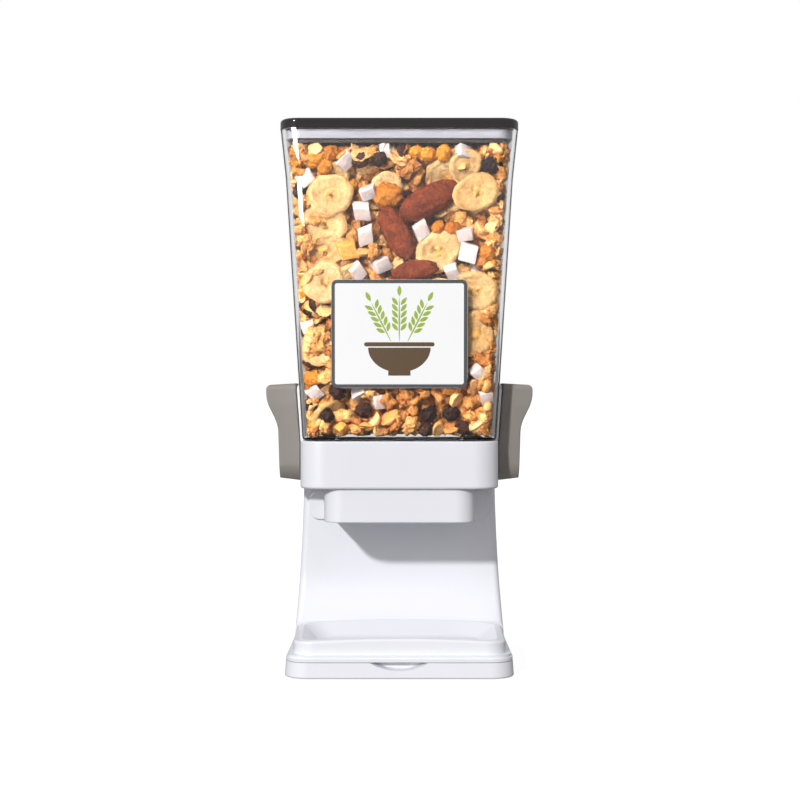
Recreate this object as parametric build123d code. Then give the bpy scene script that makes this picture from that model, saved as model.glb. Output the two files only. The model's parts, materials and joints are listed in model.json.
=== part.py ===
from build123d import *
import math
import os

# Cereal dispenser, in millimetres. +Z is up, -Y is the front, and the base stands on Z = 0.

# Cuts: how far one passes a face, and a length greater than any piece
OVERCUT = 1.0
THROUGH = 500.0

# Base and its rubber feet
BASE_HALF_WIDTH = 87.0
BASE_HALF_DEPTH = 85.0
BASE_CORNER = 18.0
BASE_BOTTOM = 0.5
BASE_EDGE = 1.2
BASE_TOP = 12.3
BASE_DRAFT = 0.8
BASE_WALL = 3.5
FLOOR_BOTTOM = 3.0
FLOOR_TOP = 6.0
FOOT_RADIUS = 9.0
FOOT_X = 66.0
FOOT_Y = 62.0
FOOT_EDGE = 0.8
NOTCH_WIDTH = 44.2
NOTCH_DEPTH = 5.8
NOTCH_RISE = 0.9
NOTCH_REACH = 9.0
NOTCH_BLOCK_HALF_WIDTH = 30.0
NOTCH_BLOCK_BACK = -70.0
BASE_SCREW_X = 50.0
BASE_SCREW_Y = 76.0

# Cover plate and catch tray, which share one stepped edge
PLATE_EDGE_BOTTOM = 12.9
PLATE_STEP = 15.1
PLATE_TOP = 17.4
PLATE_SPLIT_Y = 24.3
PLATE_GAP = 0.4
PLATE_INSETS = (1.0, 2.4)
PLATE_CORNERS = (BASE_CORNER - 1.0, BASE_CORNER - 2.0)
PLATE_SEAT_INSET = 1.4
DISH_FRONT_HALF_WIDTH = 80.4
DISH_BACK_HALF_WIDTH = 83.4
DISH_FRONT = -78.4
DISH_CORNER = 16.0
DISH_CROWN = 29.6
DISH_CROWN_RADIUS = 1200.0
DISH_RIM = 3.0
DISH_RIM_ROUND = 2.0
DISH_SLOPE = 38.0
DISH_FLOOR = 17.6
DISH_FLOOR_CORNER = 12.0
DISH_BOWL_RADIUS = 9.0

# Column
COLUMN_FRONT = 36.0
COLUMN_BACK = 64.0
COLUMN_TOP = 140.6
COLUMN_SWEEP_TOP = 70.0
COLUMN_SWEEP_BOTTOM = 28.0
COLUMN_FOOT_FRONT = 24.8
COLUMN_FOOT_BACK = 71.0
COLUMN_HALF_WIDTHS = ((17.4, 85.6), (30.0, 84.9), (57.0, 83.0), (94.0, 80.8), (140.6, 79.2))
COLUMN_EDGE = 5.0
COLUMN_WALL = 3.0
COVER_SPLIT_Y = 60.0
COVER_SCREW_X = 60.0
COVER_SCREW_HEIGHTS = (80.0, 125.0)
COVER_POST_RADIUS = 4.0

# Collar that holds the mechanism, with an ear on each side
COLLAR_HALF_WIDTH = 77.2
COLLAR_FRONT = -55.0
COLLAR_BACK = 64.0
COLLAR_BOTTOM = 140.6
COLLAR_TOP = 177.4
COLLAR_CORNER = 20.0
COLLAR_FLOOR = 3.0
COLLAR_RIM_WALL = 3.0
COLLAR_WALL = 5.0
COLLAR_LEDGE = 174.4
COLLAR_WINDOW_HALF_WIDTH = 54.5
COLLAR_WINDOW_HALF_DEPTH = 24.0
COLLAR_LOWER_ROUND = 2.0
COLLAR_UPPER_ROUND = 1.0
EAR_TOP = 221.0
EAR_HALF_DEPTH = 17.0
EAR_INNER_LOW = 76.2
EAR_INNER_HIGH = 79.5

# Spout, and the raised plate on the column that it is fixed to
SPOUT_HALF_WIDTH = 58.6
SPOUT_FRONT = -51.5
SPOUT_BACK = 33.3
SPOUT_BOTTOM = 114.6
SPOUT_CORNER = 15.0
SPOUT_EDGE = 1.0
SPOUT_WALL = 2.5
SPOUT_PLATE_HALF_WIDTH = 74.5
SPOUT_PLATE_BOTTOM = 110.6
SPOUT_PLATE_TOP = 134.4
SPOUT_PLATE_CORNER = 8.4
SPOUT_PLATE_EDGE = 0.8

# Feed funnel between the hopper and the gate
THROAT_HALF_WIDTH = 48.0
THROAT_HALF_DEPTH = 11.2
THROAT_TOP = 155.0
THROAT_BOTTOM = 140.6
MOUTH_HALF_WIDTH = 50.5
MOUTH_HALF_DEPTH = 39.1
MOUTH_FLOOR = 170.9
FUNNEL_WALL = 2.2
FUNNEL_CORNER = 17.0

# Gate: a curved shutter on two stub axles, turned by the two side levers
PIVOT_Z = 160.0
GATE_RADIUS = 24.2
GATE_SHELL = 2.5
GATE_HALF_ANGLE = 31.0
WEB_INNER = 50.6
WEB_OUTER = 53.1
BOSS_OUTER = 58.0
BOSS_RADIUS = 5.5
AXLE_RADIUS = 4.0
AXLE_END = 91.0
AXLE_PLAY = 0.06
BUSH_RADIUS = 6.0
BUSH_FLANGE_RADIUS = 8.5
BUSH_INNER_END = 70.7
BUSH_OUTER_END = 78.2
SPRING_START = 59.0
SPRING_END = 70.0
SPRING_RADIUS = 6.2
SPRING_WIRE = 0.6
SPRING_TURNS = 5

# Screws
SCREW_RADIUS = 1.5
SCREW_HEAD_RADIUS = 3.0
BASE_SCREW_HEAD = 1.4
BASE_POST_RADIUS = 4.0
COVER_SCREW_HEAD = 1.6
COVER_SCREW_LENGTH = 12.0
COVER_SCREW_BORE = 10.0

# Levers
LEVER_HUB_RADIUS = 16.0
LEVER_HALF_DEPTH = 18.0
LEVER_WAIST = 205.0
LEVER_TOP = 222.8
LEVER_TOP_FALL = 1.6
LEVER_TOP_RISE = 0.5
LEVER_TOP_ROUND = 6.0
LEVER_GRIP_ROUND = 4.0
LEVER_EDGE = 1.0
LEVER_GRIP = 105.7
LEVER_GRIP_HEIGHT = 7.0
LEVER_INNER = 70.0
LEVER_FOOT = (95.2, 147.4)
LEVER_FLARE = (96.2, 184.0)
LEVER_INNER_SHIN = 78.9
LEVER_INNER_TOP = 82.2
LEVER_SHIN_RADIUS = 22.0
LEVER_TOP_RADIUS = 65.0
EAR_CLEARANCE = 0.5

# Hopper
HOPPER_SECTIONS = ((177.4, 75.4, 53.6), (380.0, 87.9, 60.4), (417.4, 91.7, 63.0))
HOPPER_CORNER = 15.0
HOPPER_WALL = 3.2
HOPPER_BASE_ROUND = 3.6
HOPPER_FLOOR = 3.2
SPIGOT_BOTTOM = 171.4
SPIGOT_PLAY = 0.5
SPIGOT_WALL = 2.4

# Lid
LID_HALF_WIDTH = 91.8
LID_HALF_DEPTH = 63.1
LID_TOP = 425.0
LID_CORNER = 14.0
LID_PLATE = 3.0
LID_LIP = 4.2
LID_GAP = 0.1
LID_ROUND = 2.6
PLUG_HALF_WIDTH = 83.6
PLUG_HALF_DEPTH = 55.4
PLUG_WALL = 2.6
PLUG_BOTTOM = 407.0
GASKET_BOTTOM = 409.8
GASKET_TOP = 416.6
GASKET_HALF_WIDTH = 87.2
GASKET_HALF_DEPTH = 58.9
GASKET_CORNER = 11.4
PLUG_CORNER = 10.0

# Label
LABEL_HALF_WIDTH = 52.3
LABEL_LOW = 218.5
LABEL_HIGH = 301.6
LABEL_THICKNESS = 0.4
LABEL_CORNER = 8.0


def slab(half_width, front, back, bottom, top, radius):
    """A block with upright rounded corners."""
    middle = (front + back) / 2
    outline = Pos(0, middle, bottom) * RectangleRounded(2 * half_width, back - front, radius)
    return extrude(outline, top - bottom)


def block(x_low, x_high, y_low, y_high, z_low, z_high):
    """A plain block between two corners."""
    size = (x_high - x_low, y_high - y_low, z_high - z_low)
    centre = ((x_low + x_high) / 2, (y_low + y_high) / 2, (z_low + z_high) / 2)
    return Pos(*centre) * Box(*size)


def round_fronted(half_width, front, back, bottom, top, radius):
    """A block with rounded front corners and a square back."""
    outline = Pos(0, (front + back) / 2) * Rectangle(2 * half_width, back - front)
    outline = fillet(outline.vertices().group_by(Axis.Y)[0], radius)
    return Pos(0, 0, bottom) * extrude(outline, top - bottom)


def disc(radius, x, y, bottom, top):
    """An upright cylinder."""
    return Pos(x, y, (bottom + top) / 2) * Cylinder(radius, top - bottom)


def pivot_rod(radius, start, end):
    """A cylinder along the gate's turning axis."""
    return Pos((start + end) / 2, 0, PIVOT_Z) * Rot(0, 90, 0) * Cylinder(radius, end - start)


def front_shape(points, reach):
    """A shape drawn in the front view and carried through the depth."""
    face = make_face(Polyline(*points, close=True))
    return extrude(Plane.XZ * face, reach, both=True)


def tapered(sections, radius):
    """A straight-sided body through rounded rectangles given as (height, half width, half depth)."""
    outlines = [Pos(0, 0, z) * RectangleRounded(2 * x, 2 * y, radius) for z, x, y in sections]
    return loft(outlines, ruled=True)


def on_right(shape):
    """The right-hand copy of a shape that is drawn on the left."""
    return mirror(shape, about=Plane.YZ)


def base_ring():
    low = (BASE_BOTTOM, BASE_HALF_WIDTH, BASE_HALF_DEPTH)
    high = (BASE_TOP, BASE_HALF_WIDTH - BASE_DRAFT, BASE_HALF_DEPTH - BASE_DRAFT)
    outer = tapered((low, high), BASE_CORNER)
    outer = fillet(outer.edges().group_by(Axis.Z)[0], BASE_EDGE)
    ring = outer - base_cavity(BASE_BOTTOM, BASE_TOP)
    front = BASE_WALL - BASE_HALF_DEPTH
    side = NOTCH_BLOCK_HALF_WIDTH
    ring += block(-side, side, front, NOTCH_BLOCK_BACK, FLOOR_TOP, BASE_TOP)
    for x, y in corners(BASE_SCREW_X, BASE_SCREW_Y):
        wall = math.copysign(BASE_HALF_DEPTH - BASE_WALL, y)
        near, far = min(y, wall), max(y, wall)
        ring += block(x - BASE_POST_RADIUS, x + BASE_POST_RADIUS, near, far, FLOOR_TOP, BASE_TOP)
        ring += disc(BASE_POST_RADIUS, x, y, FLOOR_TOP, BASE_TOP)
        ring -= disc(SCREW_RADIUS, x, y, FLOOR_TOP, BASE_TOP - 1)
    notch_radius = ((NOTCH_WIDTH / 2) ** 2 + NOTCH_DEPTH ** 2) / (2 * NOTCH_DEPTH)
    notch_centre = BASE_TOP - NOTCH_DEPTH + notch_radius
    scoop = Rot(90, 0, 0) * Cone(notch_radius - NOTCH_RISE, notch_radius + NOTCH_RISE, 2 * NOTCH_REACH)
    return ring - Pos(0, -BASE_HALF_DEPTH, notch_centre) * scoop


def base_cavity(bottom, top):
    """The space inside the base ring."""
    half_depth = BASE_HALF_DEPTH - BASE_WALL
    return slab(BASE_HALF_WIDTH - BASE_WALL, -half_depth, half_depth, bottom, top, BASE_CORNER - BASE_WALL)


def corners(x, y):
    return [(-x, -y), (x, -y), (-x, y), (x, y)]


def base_floor():
    floor = base_cavity(FLOOR_BOTTOM, FLOOR_TOP)
    for x, y in corners(BASE_SCREW_X, BASE_SCREW_Y):
        floor -= disc(SCREW_RADIUS, x, y, FLOOR_BOTTOM, FLOOR_TOP)
    return floor


def base_screw(x, y):
    head = disc(SCREW_HEAD_RADIUS, x, y, FLOOR_BOTTOM - BASE_SCREW_HEAD, FLOOR_BOTTOM)
    return head + disc(SCREW_RADIUS, x, y, FLOOR_BOTTOM, BASE_TOP - 2)


def foot(x, y):
    pad = disc(FOOT_RADIUS, x, y, 0, FLOOR_BOTTOM)
    return fillet(pad.edges().group_by(Axis.Z)[0], FOOT_EDGE)


def stepped_plate(half_gap_side, front, back):
    """The stepped edge that runs round the top of the base, cut to one side of the split."""
    half_width = BASE_HALF_WIDTH - PLATE_INSETS[0]
    half_depth = BASE_HALF_DEPTH - PLATE_INSETS[0]
    lower = slab(half_width, -half_depth, half_depth, PLATE_EDGE_BOTTOM, PLATE_STEP, PLATE_CORNERS[0])
    width, depth = (half - (PLATE_INSETS[1] - PLATE_INSETS[0]) for half in (half_width, half_depth))
    upper = slab(width, -depth, depth, PLATE_STEP, PLATE_TOP, PLATE_CORNERS[1])
    width, depth = (half - PLATE_SEAT_INSET for half in (half_width, half_depth))
    seat = slab(width, -depth, depth, BASE_TOP, PLATE_EDGE_BOTTOM, PLATE_CORNERS[1])
    keep = block(-half_gap_side, half_gap_side, front, back, BASE_TOP, PLATE_TOP)
    return (lower + upper + seat) & keep


def base_cover():
    return stepped_plate(BASE_HALF_WIDTH, PLATE_SPLIT_Y, BASE_HALF_DEPTH)


def dish_outline(inset, height, corner):
    """The dish's plan, a little wider at the back, drawn at one height."""
    front = DISH_FRONT + inset
    back = PLATE_SPLIT_Y - PLATE_GAP - inset
    front_half = DISH_FRONT_HALF_WIDTH - inset
    back_half = DISH_BACK_HALF_WIDTH - inset
    ends = ((-front_half, front), (front_half, front), (back_half, back), (-back_half, back))
    plan = make_face(Polyline(*ends, close=True))
    return Pos(0, 0, height) * fillet(plan.vertices(), corner)


def dish_bowl(top):
    """The space inside the dish, with its sloping sides."""
    def inset_at(height):
        return DISH_RIM + (DISH_CROWN - height) / math.tan(math.radians(DISH_SLOPE))
    low = dish_outline(inset_at(DISH_FLOOR), DISH_FLOOR, DISH_FLOOR_CORNER)
    high = dish_outline(inset_at(top), top, DISH_CORNER)
    bowl = loft([low, high], ruled=True)
    return fillet(bowl.edges().group_by(Axis.Z)[0], DISH_BOWL_RADIUS)


def catch_tray():
    plate = stepped_plate(BASE_HALF_WIDTH, -BASE_HALF_DEPTH, PLATE_SPLIT_Y - PLATE_GAP)
    wall_top = DISH_CROWN + OVERCUT
    wall = extrude(dish_outline(0, PLATE_TOP, DISH_CORNER), wall_top - PLATE_TOP)
    crown_centre = Pos(0, 0, DISH_CROWN - DISH_CROWN_RADIUS)
    crown = crown_centre * Rot(90, 0, 0) * Cylinder(DISH_CROWN_RADIUS, 2 * THROUGH)
    dish = wall & crown
    rim = dish.faces().sort_by(Axis.Z)[-1].edges()
    dish = fillet(rim, DISH_RIM_ROUND)
    return plate + dish - dish_bowl(wall_top)


def column_shell(inset):
    """The column's outside, or its inside when it is inset by the wall."""
    sides = [(half - inset, z) for z, half in COLUMN_HALF_WIDTHS]
    right = Spline(*sides)
    left = Spline(*[(-x, z) for x, z in sides])
    bottom = Line(left @ 0, right @ 0)
    top = Line(left @ 1, right @ 1)
    front_view = extrude(Plane.XZ * make_face([right, left, bottom, top]), THROUGH, both=True)

    front = COLUMN_FRONT + inset
    foot_front = COLUMN_FOOT_FRONT + inset
    back = COLUMN_BACK - inset
    foot_back = COLUMN_FOOT_BACK - inset
    low = COLUMN_HALF_WIDTHS[0][0]
    front_sweep = TangentArc((front, COLUMN_SWEEP_TOP), (foot_front, COLUMN_SWEEP_BOTTOM), tangent=(0, -1))
    back_sweep = TangentArc((back, COLUMN_SWEEP_TOP), (foot_back, low), tangent=(0, -1))
    outline = [
        Line((front, COLUMN_TOP), front_sweep @ 0),
        front_sweep,
        Line(front_sweep @ 1, (foot_front, low)),
        Line((foot_front, low), (foot_back, low)),
        back_sweep,
        Line(back_sweep @ 0, (back, COLUMN_TOP)),
        Line((back, COLUMN_TOP), (front, COLUMN_TOP)),
    ]
    side_view = extrude(Plane.YZ * make_face(outline), THROUGH, both=True)
    return front_view & side_view


def column_body():
    outer = column_shell(0)
    sides = outer.edges().filter_by(lambda e: e.length > 20 and e.bounding_box().size.Z > 20)
    outer = fillet(sides, COLUMN_EDGE)
    return outer - column_shell(COLUMN_WALL)


def column_front():
    shell = column_body() & block(-THROUGH, THROUGH, 0, COVER_SPLIT_Y, 0, THROUGH)
    for x, z in cover_screw_places():
        post = Pos(x, (COLUMN_FRONT + 1 + COVER_SPLIT_Y) / 2, z) * Rot(90, 0, 0)
        shell += post * Cylinder(COVER_POST_RADIUS, COVER_SPLIT_Y - COLUMN_FRONT - 1)
        shell -= Pos(x, COVER_SPLIT_Y, z) * Rot(90, 0, 0) * Cylinder(SCREW_RADIUS, 2 * COVER_SCREW_BORE)
    return shell


def column_cover():
    cover = column_body() & block(-THROUGH, THROUGH, COVER_SPLIT_Y, THROUGH, 0, THROUGH)
    for x, z in cover_screw_places():
        post = Pos(x, (COVER_SPLIT_Y + COLUMN_BACK - 1) / 2, z) * Rot(90, 0, 0)
        cover += post * Cylinder(COVER_POST_RADIUS, COLUMN_BACK - 1 - COVER_SPLIT_Y)
        cover -= Pos(x, COLUMN_BACK, z) * Rot(90, 0, 0) * Cylinder(SCREW_RADIUS, 2 * COVER_SCREW_BORE)
    return cover


def cover_screw_places():
    return [(x, z) for z in COVER_SCREW_HEIGHTS for x in (-COVER_SCREW_X, COVER_SCREW_X)]


def cover_screw(x, z):
    head = Pos(x, COLUMN_BACK + COVER_SCREW_HEAD / 2, z) * Rot(90, 0, 0)
    shank = Pos(x, COLUMN_BACK - COVER_SCREW_LENGTH / 2, z) * Rot(90, 0, 0)
    screw = head * Cylinder(SCREW_HEAD_RADIUS, COVER_SCREW_HEAD)
    return screw + shank * Cylinder(SCREW_RADIUS, COVER_SCREW_LENGTH)


def lever_side_limit(gap):
    """The solid of revolution about the pivot that keeps an ear clear of its lever at every angle."""
    shin = LEVER_INNER_SHIN - gap
    top = LEVER_INNER_TOP - gap
    points = [(0, 0), (shin, 0), (shin, LEVER_SHIN_RADIUS), (top, LEVER_TOP_RADIUS), (top, 90), (0, 90)]
    face = make_face(Polyline(*points, close=True))
    return Pos(0, 0, PIVOT_Z) * revolve(face, Axis.X)


def side_profile(hub_radius, half_depth, waist, top, top_round):
    """The outline of a lever or an ear seen from the side: a round hub below an upright arm."""
    arm = make_face(Polyline(
        (-hub_radius, PIVOT_Z), (-half_depth, waist), (-half_depth, top),
        (half_depth, top), (half_depth, waist), (hub_radius, PIVOT_Z), close=True))
    arm = fillet(arm.vertices().group_by(Axis.Y)[-1], top_round)
    return arm + Pos(0, PIVOT_Z) * Circle(hub_radius)


def ear():
    profile = side_profile(LEVER_HUB_RADIUS - 0.6, EAR_HALF_DEPTH, LEVER_WAIST, EAR_TOP, LEVER_TOP_ROUND)
    plate = extrude(Plane.YZ * profile, 90) & block(COLLAR_HALF_WIDTH - 3, 90, -30, 30, 140, 240)
    slope = (EAR_INNER_HIGH - EAR_INNER_LOW) / (EAR_TOP - COLLAR_TOP)
    over = EAR_TOP + 10
    hopper_side = EAR_INNER_LOW + slope * (over - COLLAR_TOP)
    inside = front_shape([(0, COLLAR_TOP), (EAR_INNER_LOW, COLLAR_TOP), (hopper_side, over), (0, over)], 40)
    return (plate & lever_side_limit(EAR_CLEARANCE)) - inside


def collar():
    outer = slab(COLLAR_HALF_WIDTH, COLLAR_FRONT, COLLAR_BACK, COLLAR_BOTTOM, COLLAR_TOP, COLLAR_CORNER)
    outer = fillet(outer.edges().group_by(Axis.Z)[0], COLLAR_LOWER_ROUND)
    outer = fillet(outer.edges().group_by(Axis.Z)[-1], COLLAR_UPPER_ROUND)
    shell = outer - collar_space(COLLAR_WALL, COLLAR_BOTTOM + COLLAR_FLOOR, COLLAR_TOP)
    shell -= collar_space(COLLAR_RIM_WALL, COLLAR_LEDGE, COLLAR_TOP)
    low, high = COLLAR_BOTTOM - OVERCUT, COLLAR_BOTTOM + COLLAR_FLOOR + OVERCUT
    window = funnel_stage(COLLAR_WINDOW_HALF_WIDTH, COLLAR_WINDOW_HALF_DEPTH, low, high)
    shell = shell - window + ear() + on_right(ear())
    return shell - pivot_rod(BUSH_RADIUS, -THROUGH, THROUGH)


def collar_space(wall, bottom, top):
    """The collar's inside, for a given wall."""
    width = COLLAR_HALF_WIDTH - wall
    return slab(width, COLLAR_FRONT + wall, COLLAR_BACK - wall, bottom, top, COLLAR_CORNER - wall)


def spout():
    low, high = SPOUT_BOTTOM, COLLAR_BOTTOM
    outer = round_fronted(SPOUT_HALF_WIDTH, SPOUT_FRONT, SPOUT_BACK, low, high, SPOUT_CORNER)
    outer = fillet(outer.edges().group_by(Axis.Z)[0], SPOUT_EDGE)
    width = SPOUT_HALF_WIDTH - SPOUT_WALL
    front = SPOUT_FRONT + SPOUT_WALL
    back = SPOUT_BACK - SPOUT_WALL
    corner = SPOUT_CORNER - SPOUT_WALL
    return outer - round_fronted(width, front, back, low, high, corner)


def spout_plate():
    """A raised plate with rounded corners on the front of the column."""
    middle = (SPOUT_PLATE_TOP + SPOUT_PLATE_BOTTOM) / 2
    height = SPOUT_PLATE_TOP - SPOUT_PLATE_BOTTOM
    face = Pos(0, middle) * RectangleRounded(2 * SPOUT_PLATE_HALF_WIDTH, height, SPOUT_PLATE_CORNER)
    plate = Pos(0, COLUMN_FRONT, 0) * extrude(Plane.XZ * face, COLUMN_FRONT - SPOUT_BACK)
    return fillet(plate.edges().group_by(Axis.Y)[0], SPOUT_PLATE_EDGE)


def funnel_stage(half_width, half_depth, bottom, top):
    return block(-half_width, half_width, -half_depth, half_depth, bottom, top)


def funnel_slope(half_width, extra):
    top = Pos(0, 0, MOUTH_FLOOR) * Rectangle(2 * half_width, 2 * (MOUTH_HALF_DEPTH - 2.5 + extra))
    bottom = Pos(0, 0, THROAT_TOP) * Rectangle(2 * half_width, 2 * (THROAT_HALF_DEPTH + extra))
    return loft([bottom, top], ruled=True)


def feed_funnel():
    wall = FUNNEL_WALL
    width = COLLAR_HALF_WIDTH - COLLAR_RIM_WALL
    front = COLLAR_FRONT + COLLAR_RIM_WALL
    back = COLLAR_BACK - COLLAR_RIM_WALL
    body = slab(width, front, back, COLLAR_LEDGE, COLLAR_TOP, FUNNEL_CORNER)
    body += funnel_stage(MOUTH_HALF_WIDTH + wall, MOUTH_HALF_DEPTH + wall, MOUTH_FLOOR - wall, COLLAR_LEDGE)
    body += funnel_slope(THROAT_HALF_WIDTH + wall, wall)
    body += funnel_stage(THROAT_HALF_WIDTH + wall, THROAT_HALF_DEPTH + wall, THROAT_BOTTOM, THROAT_TOP)
    body -= funnel_stage(MOUTH_HALF_WIDTH, MOUTH_HALF_DEPTH, MOUTH_FLOOR, COLLAR_TOP)
    body -= funnel_slope(THROAT_HALF_WIDTH, 0)
    return body - funnel_stage(THROAT_HALF_WIDTH, THROAT_HALF_DEPTH, THROAT_BOTTOM, THROAT_TOP)


def gate_sector(radius):
    """The shutter's wedge in the side view, centred straight below the pivot."""
    reach = 60.0
    spread = reach * math.tan(math.radians(GATE_HALF_ANGLE))
    wedge = make_face(Polyline((0, 0), (-spread, -reach), (spread, -reach), close=True))
    return Pos(0, PIVOT_Z) * (Circle(radius) & wedge)


def along_x(face, start, end):
    """A side-view face carried from one X to another."""
    return Pos(start, 0, 0) * extrude(Plane.YZ * face, end - start)


def gate_shutter():
    outer = GATE_RADIUS + GATE_SHELL
    hub = Pos(0, PIVOT_Z) * Circle(BOSS_RADIUS)
    arc = gate_sector(outer) - Pos(0, PIVOT_Z) * Circle(GATE_RADIUS)
    gate = along_x(arc, -WEB_OUTER, WEB_OUTER)
    for side in (-1, 1):
        start = min(side * WEB_INNER, side * WEB_OUTER)
        boss_start = min(side * WEB_INNER, side * BOSS_OUTER)
        gate += along_x(gate_sector(outer), start, start + WEB_OUTER - WEB_INNER)
        gate += along_x(hub, boss_start, boss_start + BOSS_OUTER - WEB_INNER)
    return gate - pivot_rod(AXLE_RADIUS, -70, 70)


def gate_axle():
    return pivot_rod(AXLE_RADIUS, -AXLE_END, -WEB_INNER)


def axle_bush():
    bush = pivot_rod(BUSH_RADIUS, -BUSH_OUTER_END, -BUSH_INNER_END)
    bush += pivot_rod(BUSH_FLANGE_RADIUS, -(COLLAR_HALF_WIDTH - COLLAR_WALL), -BUSH_INNER_END)
    return bush - pivot_rod(AXLE_RADIUS + AXLE_PLAY, -100, -60)


def return_spring():
    length = SPRING_END - SPRING_START
    path = Helix(length / SPRING_TURNS, length, SPRING_RADIUS)
    section = Plane(path @ 0, z_dir=path % 0) * Circle(SPRING_WIRE)
    coil = sweep(section, path=path)
    return Pos(-SPRING_END, 0, PIVOT_Z) * Rot(0, 90, 0) * coil


def lever_rim(arm):
    """The edges round a lever's inner and outer faces, without its bore and the lines across it."""
    def on_rim(edge):
        size = edge.bounding_box().size
        offset = abs((edge @ 0.5).Y)
        bore = size.Y < 3 * AXLE_RADIUS and offset <= AXLE_RADIUS
        return offset > 1 and size.X < 15 and not bore
    return arm.edges().filter_by(on_rim)


def lever():
    bottom = PIVOT_Z - LEVER_HUB_RADIUS
    outer_top, inner_top = LEVER_TOP - LEVER_TOP_FALL, LEVER_TOP + LEVER_TOP_RISE
    flare = Spline(LEVER_FLARE, (LEVER_GRIP, LEVER_TOP - LEVER_GRIP_HEIGHT), tangents=[(0.05, 1), (0, 1)])
    outline = [
        Line((LEVER_INNER, bottom), LEVER_FOOT),
        Line(LEVER_FOOT, LEVER_FLARE),
        flare,
        Line(flare @ 1, (LEVER_GRIP, outer_top)),
        Line((LEVER_GRIP, outer_top), (LEVER_INNER, inner_top)),
        Line((LEVER_INNER, inner_top), (LEVER_INNER, bottom)),
    ]
    face = make_face(outline)
    face = fillet(face.vertices().filter_by(lambda v: v.X > 100 and v.Y > LEVER_TOP - 3), LEVER_GRIP_ROUND)
    front_view = extrude(Plane.XZ * face, THROUGH, both=True)
    profile = side_profile(LEVER_HUB_RADIUS, LEVER_HALF_DEPTH, LEVER_WAIST, LEVER_TOP + 1, LEVER_TOP_ROUND)
    arm = front_view & extrude(Plane.YZ * profile, THROUGH)
    arm = arm - lever_side_limit(0) - pivot_rod(AXLE_RADIUS, 60, AXLE_END)
    return on_right(fillet(lever_rim(arm), LEVER_EDGE))


def hopper_profile(inset, extend):
    """The hopper's straight-sided outside, or its inside when inset by the wall."""
    sections = [(z, x - inset, y - inset) for z, x, y in HOPPER_SECTIONS]
    if extend:
        top, x, y = sections[-1]
        sections[-1] = (top + OVERCUT, x, y)
    return tapered(sections, HOPPER_CORNER - inset)


def hopper_tub():
    outer = hopper_profile(0, False)
    outer = fillet(outer.edges().group_by(Axis.Z)[0], HOPPER_BASE_ROUND)
    floor = HOPPER_SECTIONS[0][0]
    below_floor = block(-THROUGH, THROUGH, -THROUGH, THROUGH, 0, floor + HOPPER_FLOOR)
    tub = outer - (hopper_profile(HOPPER_WALL, True) - below_floor)
    spigot_width = MOUTH_HALF_WIDTH - SPIGOT_PLAY
    spigot_depth = MOUTH_HALF_DEPTH - SPIGOT_PLAY
    tub += funnel_stage(spigot_width, spigot_depth, SPIGOT_BOTTOM, floor)
    opening_width = spigot_width - SPIGOT_WALL
    opening_depth = spigot_depth - SPIGOT_WALL
    return tub - funnel_stage(opening_width, opening_depth, SPIGOT_BOTTOM, floor + HOPPER_FLOOR)


def hopper_label():
    """A sheet that lies on the hopper's sloping front."""
    (low, _, low_depth), (high, _, high_depth) = HOPPER_SECTIONS[:2]
    lean = math.degrees(math.atan((high_depth - low_depth) / (high - low)))
    centre_z = (LABEL_LOW + LABEL_HIGH) / 2
    centre_y = -(low_depth + (high_depth - low_depth) * (centre_z - low) / (high - low))
    sheet = RectangleRounded(2 * LABEL_HALF_WIDTH, LABEL_HIGH - LABEL_LOW, LABEL_CORNER)
    flat = extrude(sheet, LABEL_THICKNESS)
    return Pos(0, centre_y, centre_z) * Rot(90 + lean, 0, 0) * flat


def lid_cover():
    rim = HOPPER_SECTIONS[-1][0] + LID_GAP
    outer = slab(LID_HALF_WIDTH, -LID_HALF_DEPTH, LID_HALF_DEPTH, rim, LID_TOP, LID_CORNER)
    outer = fillet(outer.edges().group_by(Axis.Z)[-1], LID_ROUND)
    width = LID_HALF_WIDTH - LID_LIP
    depth = LID_HALF_DEPTH - LID_LIP
    return outer - slab(width, -depth, depth, rim, LID_TOP - LID_PLATE, LID_CORNER - LID_LIP)


def lid_plug():
    rim = LID_TOP - LID_PLATE
    width = PLUG_HALF_WIDTH - PLUG_WALL
    depth = PLUG_HALF_DEPTH - PLUG_WALL
    plug = slab(PLUG_HALF_WIDTH, -PLUG_HALF_DEPTH, PLUG_HALF_DEPTH, PLUG_BOTTOM, rim, PLUG_CORNER)
    return plug - slab(width, -depth, depth, PLUG_BOTTOM, rim, PLUG_CORNER - PLUG_WALL)


def lid_gasket():
    low, high = GASKET_BOTTOM, GASKET_TOP
    ring = slab(GASKET_HALF_WIDTH, -GASKET_HALF_DEPTH, GASKET_HALF_DEPTH, low, high, GASKET_CORNER)
    return ring - slab(PLUG_HALF_WIDTH, -PLUG_HALF_DEPTH, PLUG_HALF_DEPTH, low, high, PLUG_CORNER)


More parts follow.
